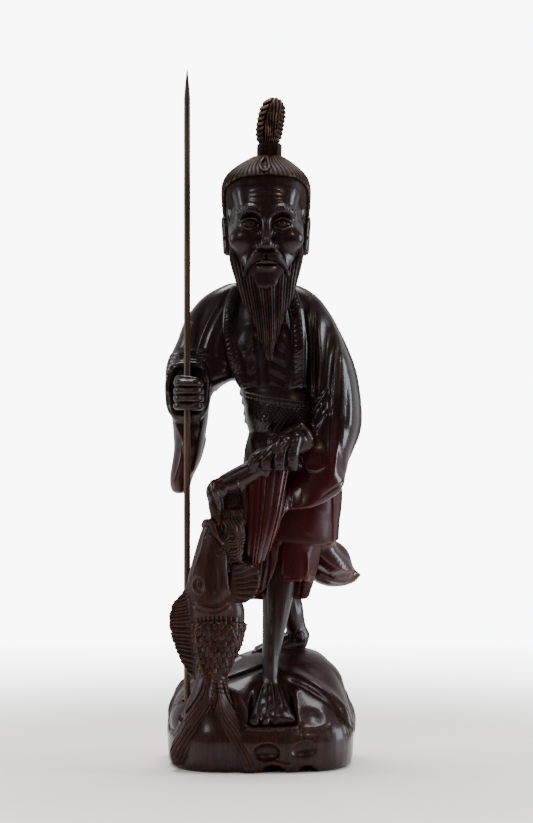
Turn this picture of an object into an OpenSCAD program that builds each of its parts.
// Carved hardwood statuette: a fisherman on a rock, holding a loose wooden pole and a carp.
// Frame: +Z up, X to the viewer's right, Y to the back; the origin is on the underside of the rock.
// Every carved region is a closed solid of its own; neighbours share wood where the block is continuous.

/* [Pole] */
// Diameter of the loose pole
pole_d = 3.1; // [2.4:0.1:4]
// Length of the pole, foot to tip
pole_l = 298; // [260:1:330]
// Length of the sharpened tip
tip_l = 13.5; // [8:0.5:25]
// Radial clearance of the pole in the fist
fist_clearance = 0.06; // [0.02:0.01:0.1]
// Radial clearance of the pole in the rock
socket_clearance = 0.1; // [0.05:0.01:0.3]

/* [Rock] */
// Width of the rock
rock_w = 84.8; // [78:0.2:96]
// Depth of the rock, front to back
rock_d = 78; // [70:1:90]
// Height of the ledge under the front foot
ledge_z = 20; // [16:0.5:23]

/* [Fish] */
// Depth of the fish's body, front to back
fish_t = 19; // [14:0.5:22]
// Thickness of the fins
fin_t = 3.2; // [2.4:0.1:4.5]

/* [Hidden] */

pole_x = -34;
pole_y = -13;
socket_z = 18;
fist_z = 168.8;
fish_y = -24;

stain = [0.16, 0.05, 0.05];
stain_dark = [0.10, 0.04, 0.04];
bare_wood = [0.36, 0.20, 0.10];

// ---- Shape helpers ----

// Catmull-Rom point between b and c, for numbers or vectors
function blend4(a, b, c, d, t) =
  0.5 * (2 * b + (c - a) * t + (2 * a - 5 * b + 4 * c - d) * t * t
  + (3 * b - a - 3 * c + d) * t * t * t);

// An open list of vectors with steps - 1 more entries in each gap
function refine(list, steps) =
  let (m = len(list))
  [for (i = [0:m - 2], k = [0:steps - 1])
     blend4(list[max(i - 1, 0)], list[i], list[i + 1], list[min(i + 2, m - 1)], k / steps),
   list[m - 1]];

// The same for a closed outline
function refine_loop(list, steps) =
  let (m = len(list))
  [for (i = [0:m - 1], k = [0:steps - 1])
     blend4(list[(i + m - 1) % m], list[i], list[(i + 1) % m], list[(i + 2) % m], k / steps)];

// A number's power with its sign kept
function signed_pow(v, e) = sign(v) * pow(abs(v), e);

// Faces between m rings of n points, with both ends closed
function tube_faces(m, n) = concat(
  [for (i = [1:n - 2]) [0, i + 1, i]],
  [for (j = [0:m - 2], i = [0:n - 1]) each let (k = (i + 1) % n)
     [[j * n + i, j * n + k, (j + 1) * n + k], [j * n + i, (j + 1) * n + k, (j + 1) * n + i]]],
  [for (i = [1:n - 2]) [(m - 1) * n, (m - 1) * n + i, (m - 1) * n + i + 1]]);

// Solid through level slices, each [z, centre x, centre y, half width, half depth]
module loft(slices, square = 2.4, sides = 24, steps = 2) {
  rings = refine(slices, steps);
  points = [for (s = rings, i = [0:sides - 1]) let (t = 360 * i / sides)
    [s[1] + s[3] * signed_pow(cos(t), 2 / square), s[2] + s[4] * signed_pow(sin(t), 2 / square), s[0]]];
  polyhedron(points = points, faces = [for (f = tube_faces(len(rings), sides)) [f[2], f[1], f[0]]],
             convexity = 8);
}

// Solid along a path, each point [x, y, z, half width across, half height]
module limb(path, square = 2.2, sides = 14, steps = 2) {
  line = refine(path, steps);
  m = len(line);
  points = [for (j = [0:m - 1]) let (
      p = line[j],
      a = line[max(j - 1, 0)],
      b = line[min(j + 1, m - 1)],
      along = [b[0] - a[0], b[1] - a[1], b[2] - a[2]],
      dir = along / norm(along),
      side_raw = cross(dir, abs(dir[2]) > 0.75 ? [0, 1, 0] : [0, 0, 1]),
      side = side_raw / norm(side_raw),
      up = cross(side, dir))
    for (i = [0:sides - 1]) let (t = 360 * i / sides)
      [p[0], p[1], p[2]] + side * p[3] * signed_pow(cos(t), 2 / square)
      + up * p[4] * signed_pow(sin(t), 2 / square)];
  polyhedron(points = points, faces = tube_faces(m, sides), convexity = 8);
}

// Upright plate with its outline in X and Z, centred on depth y
module plate(outline, y, thick, steps = 3) {
  translate([0, y + thick / 2, 0]) rotate([90, 0, 0])
    linear_extrude(height = thick) polygon(refine_loop(outline, steps));
}

// ---- Rock ----

module rock_base() {
  w = rock_w / 2;
  d = rock_d / 2;
  color(stain) difference() {
    loft([[0, -0.6, -1, w - 2, d - 2.4], [3, -0.6, -1, w - 0.5, d - 0.4], [14, -0.6, -1, w, d],
          [20, -0.6, 0, w - 0.5, d - 1.8], [26, -0.8, 3, w - 2.4, d - 5.5], [33, 0, 7.5, w - 5.6, d - 11],
          [40, 4.4, 12, w - 12.4, d - 16], [45, 8.2, 15, w - 20, d - 21],
          [48.6, 10, 17, w - 27, d - 27], [50, 10.5, 17.5, w - 34, d - 32]],
         square = 3.2, sides = 40);
    // The ledge, with walls that lean back beside and behind the foot
    hull() {
      translate([-7, -rock_d, ledge_z]) cube([22.6, rock_d - 26, 0.1]);
      translate([-3, -rock_d, ledge_z + 24]) cube([13.6, rock_d - 10, 0.1]);
    }
    translate([pole_x, pole_y, socket_z]) cylinder(h = 30, d = pole_d + 2 * socket_clearance, $fn = 48);
  }
}

// ---- Legs and feet ----

module right_leg() {
  color(stain) limb([[3.8, -12.5, 27, 3.9, 4.4], [3.7, -12, 34, 3.7, 4.1], [3.8, -11, 44, 3.9, 4.6],
                     [4.6, -9.5, 54, 4.7, 5.6], [5.9, -8, 65, 5.8, 6.6], [7.2, -6.5, 76, 7.1, 7.4],
                     [9, -5, 90, 8, 8.4]], sides = 18);
}

module right_foot() {
  color(stain) limb([[3.8, -5, ledge_z + 6, 3.6, 6], [3.9, -11, ledge_z + 9.6, 4.8, 9.5],
                     [4.2, -18, ledge_z + 7.4, 7, 7.2], [4.5, -26, ledge_z + 4.4, 9.6, 4.6],
                     [4.6, -33.5, ledge_z + 2.1, 10.9, 2.2]], square = 2.8, sides = 18);
}

module left_leg() {
  color(stain) limb([[17.4, 16.5, 54, 4.6, 4.8], [15.6, 15.5, 61, 4.5, 5.2], [12.8, 13.5, 70, 4, 5.4],
                     [12.8, 11, 80, 4.8, 6.2], [13, 9, 90, 6.2, 7]], sides = 18);
}

module left_foot() {
  color(stain) limb([[21.4, 17.5, 54, 3, 3.6], [18.5, 17, 54.3, 4.4, 5.2], [12.5, 16, 52.6, 4.8, 5.2],
                     [4.5, 15, 49.8, 5.2, 4.4], [-3, 14, 47.6, 5.2, 3.3]], square = 2.6, sides = 16);
}

// ---- Robe ----

module breeches() {
  color(stain) loft([[74.6, 17.6, 0, 4, 8], [78.5, 16.6, 0.6, 6, 11.4], [81.8, 15.2, 1, 8.4, 13.4],
                     [84, 13.4, 1, 11, 14], [90, 13, 2, 13, 15],
                     [104, 13, 4, 15.5, 16]], square = 2.6, sides = 24);
}

module robe_skirt() {
  color(stain) loft([[99, 13, 7, 20, 19.5], [101, 12.8, 7, 21.3, 21], [110, 12.9, 7.5, 22, 21.5],
                     [122, 13.6, 8, 23, 21.5], [140, 13, 7.5, 20.5, 19], [152, 10.6, 7, 17, 16.5]],
                    square = 2.4, sides = 32);
}

module skirt_fold() {
  color(stain) loft([[74, 0.5, 4, 8.5, 11], [77, 1, 3.5, 10, 13.5], [88, 2.5, 3, 12, 16],
                     [106, 4.5, 3, 14, 17]], square = 2.4, sides = 22);
}

module robe_tail() {
  color(stain) limb([[17, 20, 99, 10, 9], [24, 20, 94, 10, 9.6], [30.5, 19.5, 90, 9, 11], [36, 19, 86.4, 7.6, 9.4],
                     [40.6, 18.5, 84, 4.4, 5.4], [44.6, 18, 83.4, 1.2, 1.8]], square = 2.2, sides = 18);
}

module robe_torso() {
  color(stain) loft([[170, 7.2, 6.6, 17.2, 17], [180, 6, 6, 20, 18], [192, 3.6, 6, 22, 17.5],
                     [204, 2.2, 6, 21.5, 15.5], [213, 1.8, 5.5, 16.5, 12.5], [219, 2, 4, 9.5, 8.5]],
                    square = 2.5, sides = 32);
}

module waist_sash() {
  color(stain) loft([[152, 10.6, 7, 17, 16.5], [156, 10, 6.8, 17.6, 17.2], [163, 9, 6.6, 17.4, 17.6],
                     [170, 7.2, 6.6, 17.2, 17]], square = 2.5, sides = 32);
}

module right_lapel() {
  color(stain) limb([[-10.6, -0.6, 217.6, 3, 3], [-14, -3.4, 210.6, 3.3, 3], [-15.4, -5, 203, 3.4, 3],
                     [-15.4, -5.4, 194, 3.4, 3], [-12.8, -6.4, 183, 3.4, 3], [-7.8, -6.4, 172, 2.8, 2.8]], sides = 12);
}

module left_lapel() {
  color(stain) limb([[12.5, -4, 216.5, 3.2, 2.6], [15.2, -8.5, 207, 3.8, 2.6], [16.6, -10.6, 196, 4, 2.4],
                     [17, -10.8, 184, 4, 2.4], [16.8, -9.2, 171, 3.4, 2.2]], sides = 12);
}

// ---- Arms ----

module right_sleeve() {
  color(stain) loft([[122.6, -38, 4, 2.8, 4.5], [125.3, -37.7, 4, 4.6, 7], [130.8, -37.1, 4, 5.3, 8],
                     [138.2, -34.9, 4, 6.4, 9], [145.6, -33.7, 4, 6.7, 9.5], [156.6, -33, 3.5, 7.8, 10.2],
                     [164, -33.6, 3, 9.3, 11], [171, -32.8, 3, 11.6, 11.5], [176.5, -27.6, 3.2, 17, 12],
                     [184.2, -26.8, 4, 16.5, 12.5], [193.4, -24.6, 5, 14.5, 12.5], [202.6, -22, 6, 13.8, 11.5],
                     [211.8, -17, 6, 12, 9.4], [216.5, -13, 6, 9.4, 7.6], [220, -9.5, 6, 5.6, 5]],
                    square = 2.3, sides = 28);
}

module right_fist() {
  r = 7.6;
  h = 16.4;
  finger_h = h / 4;
  color(stain) difference() {
    loft([for (k = [0:16]) let (
            z = -h / 2 + h * k / 16,
            knuckle = 0.7 * abs(sin(180 * (z + h / 2) / finger_h)),
            shoulder = sqrt(1 - pow(abs(2 * z / h), 5) * 0.45))
          [fist_z + z, pole_x + 0.8, pole_y - 1, r * shoulder, (r + knuckle) * shoulder]],
         square = 3, sides = 24, steps = 1);
    translate([pole_x, pole_y, fist_z - h]) cylinder(h = 2 * h, d = pole_d + 2 * fist_clearance, $fn = 48);
  }
}

module left_sleeve() {
  color(stain) loft([[107.5, 9.5, -14, 4, 5], [112, 13, -11.5, 8.5, 9], [118, 18, -7, 13, 13.5], [124, 21.8, -3, 15, 16.6],
                     [131, 24.6, -0.4, 14.4, 18.4], [140, 27.2, 1, 13.2, 19.2], [146.5, 29.6, 2.4, 13.2, 19.4],
                     [155, 32, 3.4, 12.9, 19.2], [167.6, 32.4, 4, 12, 18], [182.4, 30.4, 5, 11, 16],
                     [197, 26, 6, 9.4, 13.5], [204.4, 23, 6, 9.2, 11.5], [211.8, 17.6, 6, 9.9, 9.4],
                     [216.5, 13.4, 6, 8.6, 7], [219, 11, 6, 5.6, 5]],
                    square = 2.3, sides = 32);
}

module sleeve_fall() {
  color(stain) loft([[91, -3, -21, 2.6, 3.4], [93, -3, -21, 4.4, 5], [98, -2.2, -21, 6.4, 6],
                     [106, -0.4, -21, 8, 6.8], [116, 1, -20.5, 9.3, 7.4], [126, 1.4, -20, 9.6, 7.6],
                     [137, 3, -18.5, 10, 7.6]], square = 2.4, sides = 24);
}

module left_hand() {
  // Finger roots and tips from the first finger to the little one, as [x, z]
  roots = [[1.5, 141], [6.4, 144], [11.2, 146.5], [15.4, 148]];
  tips = [[-4.4, 134], [2, 131.6], [8.4, 131], [14, 134.4]];
  color(stain) {
    hull() {
      translate([5.5, -20, 146.5]) sphere(r = 3.2, $fn = 16);
      translate([17, -18, 152]) sphere(r = 3.4, $fn = 16);
      translate([20, -17, 146]) sphere(r = 3.4, $fn = 16);
      translate([9, -19, 141]) sphere(r = 3.4, $fn = 16);
    }
    for (f = [0:3]) {
      knuckle = [roots[f][0], -25, roots[f][1]];
      middle = [(roots[f][0] + tips[f][0]) / 2 - 0.6, -28, (roots[f][1] + tips[f][1]) / 2 + 0.6];
      tip = [tips[f][0], -26.5, tips[f][1]];
      hull() {
        translate([knuckle[0] + 2, -21, knuckle[2] - 1]) sphere(r = 3, $fn = 14);
        translate(knuckle) sphere(r = 2.9, $fn = 14);
      }
      hull() {
        translate(knuckle) sphere(r = 2.9, $fn = 14);
        translate(middle) sphere(r = 2.7, $fn = 14);
      }
      hull() {
        translate(middle) sphere(r = 2.7, $fn = 14);
        translate(tip) sphere(r = 2.3, $fn = 14);
      }
    }
  }
}

// ---- Fish and the cord that carries it ----

module carrying_cord() {
  color(stain) {
    limb([[-1, -22, 136.4, 4.6, 4.4], [-8.5, -23, 132.4, 4.4, 4.4], [-14.6, -24, 129, 4.2, 4.4],
          [-18.6, -24.4, 126.2, 4.2, 4.4], [-20.6, -24.4, 121.6, 3.9, 4.4],
          [-20, -24.4, 115, 3.6, 4], [-19.4, -24.4, 109, 3, 3.4]], sides = 14);
    // Web of wood left standing inside the loop
    loft([[112, -14, -21.5, 5.4, 2.6], [120, -13, -21.4, 6.6, 2.8], [129, -9, -21, 5.4, 2.6]],
         square = 3, sides = 14, steps = 1);
  }
}

module straw_wrap() {
  color(stain) loft([[82, -8.6, -17, 3, 5], [86, -9.6, -18.6, 4.6, 6], [91, -12.6, -22.4, 5, 6],
                     [96, -14, -24.6, 5.6, 6.2], [104, -13.2, -25, 6.2, 6],
                     [111, -12.4, -24.4, 6, 5.4], [117, -12, -24, 4.6, 3.8]], square = 2.2, sides = 18);
}

module fish_head() {
  t = fish_t / 2;
  color(stain) loft([[74, -20.6, fish_y, 12.4, t], [80, -21.7, fish_y, 12, t], [87, -23.1, fish_y, 10, t - 0.6],
                     [96, -22.6, fish_y, 8, t - 2], [103, -22, fish_y, 6.6, t - 3.4],
                     [109, -21.9, fish_y, 4.6, t - 5], [113, -21.4, fish_y, 1.8, t - 7]],
                    square = 2.1, sides = 24);
}

module fish_body() {
  t = fish_t / 2;
  color(stain) loft([[33, -23.2, fish_y - 1, 6.8, t - 4], [38, -23, fish_y, 6.5, t - 3.6],
                     [46, -22.2, fish_y, 7.4, t - 2.4], [53, -20.4, fish_y, 9.8, t - 1],
                     [62, -19.8, fish_y, 11.8, t], [70, -20.1, fish_y, 12.6, t],
                     [74, -20.6, fish_y, 12.4, t]], square = 2.1, sides = 24);
}

module dorsal_fin() {
  color(stain_dark) plate([[-29.7, 86.9], [-35.1, 80.2], [-40.7, 73.9], [-42.3, 66.7], [-41.2, 59.5],
                           [-38.6, 52.3], [-35.1, 45.1], [-30.6, 40], [-27.6, 42], [-27.4, 55],
                           [-28.4, 68], [-28.4, 80]], fish_y, fin_t);
}

module pectoral_fin() {
  color(stain_dark) plate([[-13.6, 91], [-9.4, 93], [-4.5, 92], [-0.9, 88.6], [-1.4, 81.2], [-4.6, 76],
                           [-9.6, 74.8], [-13.6, 78.6]], fish_y - 6, fin_t);
}

module tail_fin() {
  // Two streaked lobes that fan out over the front left of the rock
  color(stain_dark) {
    limb([[-23.6, -24, 40, 5.4, 4.6], [-26.6, -27.6, 31, 6.2, 4], [-31, -31, 20, 6.6, 3.6],
          [-36, -31.4, 9, 4.6, 3.2], [-38.6, -30, 2.4, 1.8, 2.2]], square = 2.6, sides = 16);
    limb([[-20.6, -24, 38, 4.4, 4.6], [-18, -28.4, 29, 5, 4], [-13.6, -32.8, 19, 4.6, 3.8],
          [-9, -36, 9, 3.8, 3.2], [-6.4, -37.4, 1.6, 3, 2.4]], square = 2.6, sides = 16);
  }
}

// ---- Head ----

module head() {
  color(stain) loft([[208, 2.2, 2, 8.2, 9], [214, 2.2, -1.5, 9.6, 12.5], [219, 2.2, -3.4, 13, 16.4],
                     [226, 2, -3.4, 15.2, 18], [236, 1.8, -3, 16.8, 19], [248, 1.8, -2.6, 18, 19.8],
                     [258, 1.8, -2, 18.6, 20], [266, 1.8, -1, 16.4, 17.6], [270, 2, 0, 11, 12]],
                    square = 2.3, sides = 32);
}

module ears() {
  color(stain) for (side = [-1, 1])
    // Each ear runs from the level of the brow down to the base of the nose
    translate([1.9 + side * 17.6, 1, 0])
      loft([[232, -side * 0.8, -1, 1.4, 2], [235.5, -side * 0.3, -1, 2.2, 3], [242, 0, 0, 2.6, 4],
            [247.5, 0.2 * side, 0.6, 2.6, 4.2], [250.5, -0.2 * side, 0.8, 1.4, 2.6]],
           square = 2.1, sides = 14);
}

module beard() {
  color(stain) loft([[183.4, 3.7, -16.5, 0.9, 1], [188.8, 2.9, -16.6, 3, 2.4], [197.4, 2.8, -16.6, 5.7, 3.8],
                     [207.8, 2.5, -16.6, 9.8, 5.2], [215.5, 2.3, -15.6, 12.6, 6.4], [222, 2.2, -14.6, 13.4, 7.2],
                     [228, 2.1, -13.8, 12, 7]], square = 2.2, sides = 24);
}

module hair_cap() {
  color(stain_dark) loft([[249, 2, 6, 19.2, 13.6], [253, 1.9, 4, 19.9, 17.2], [258, 1.9, 1, 20.2, 20.4],
                          [263, 1.9, -0.4, 20.2, 20.8], [267.4, 1.9, -0.4, 19, 19.6], [271, 2, 0, 16, 16.5],
                          [274.5, 2.4, 0.4, 11.5, 12], [277.5, 2.9, 0.6, 6.6, 7]],
                         square = 2.3, sides = 32);
}

module hair_ring() {
  color(stain_dark) loft([[276.6, 3.4, 0.6, 6, 6], [278, 3.4, 0.6, 5.9, 5.9], [283, 3.4, 0.6, 5.7, 5.7],
                          [284, 3.3, 0.6, 4.8, 4.8]], square = 3.4, sides = 24, steps = 1);
}

module topknot() {
  color(stain_dark) loft([[284, 3.2, 0.6, 4.8, 4.8], [286, 3.2, 0.6, 6.1, 5.8], [290, 3.5, 0.6, 6.6, 6.6],
                          [296, 4.4, 0.6, 6.7, 6.9], [301, 5, 0.6, 5.9, 6], [304, 5.2, 0.6, 3.8, 4],
                          [305.2, 5.3, 0.6, 1.5, 1.6]], square = 2.3, sides = 20);
}

// ---- Loose pole ----

module pole() {
  color(bare_wood) translate([pole_x, pole_y, socket_z]) {
    cylinder(h = pole_l - tip_l, d = pole_d, $fn = 32);
    translate([0, 0, pole_l - tip_l]) cylinder(h = tip_l, d1 = pole_d, d2 = 0.5, $fn = 32);
  }
}

rock_base();
right_leg();
right_foot();
left_leg();
left_foot();
breeches();
robe_skirt();
skirt_fold();
robe_tail();
robe_torso();
waist_sash();
right_lapel();
left_lapel();
right_sleeve();
right_fist();
left_sleeve();
sleeve_fall();
left_hand();
carrying_cord();
straw_wrap();
fish_head();
fish_body();
dorsal_fin();
pectoral_fin();
tail_fin();
head();
ears();
beard();
hair_cap();
hair_ring();
topknot();
pole();
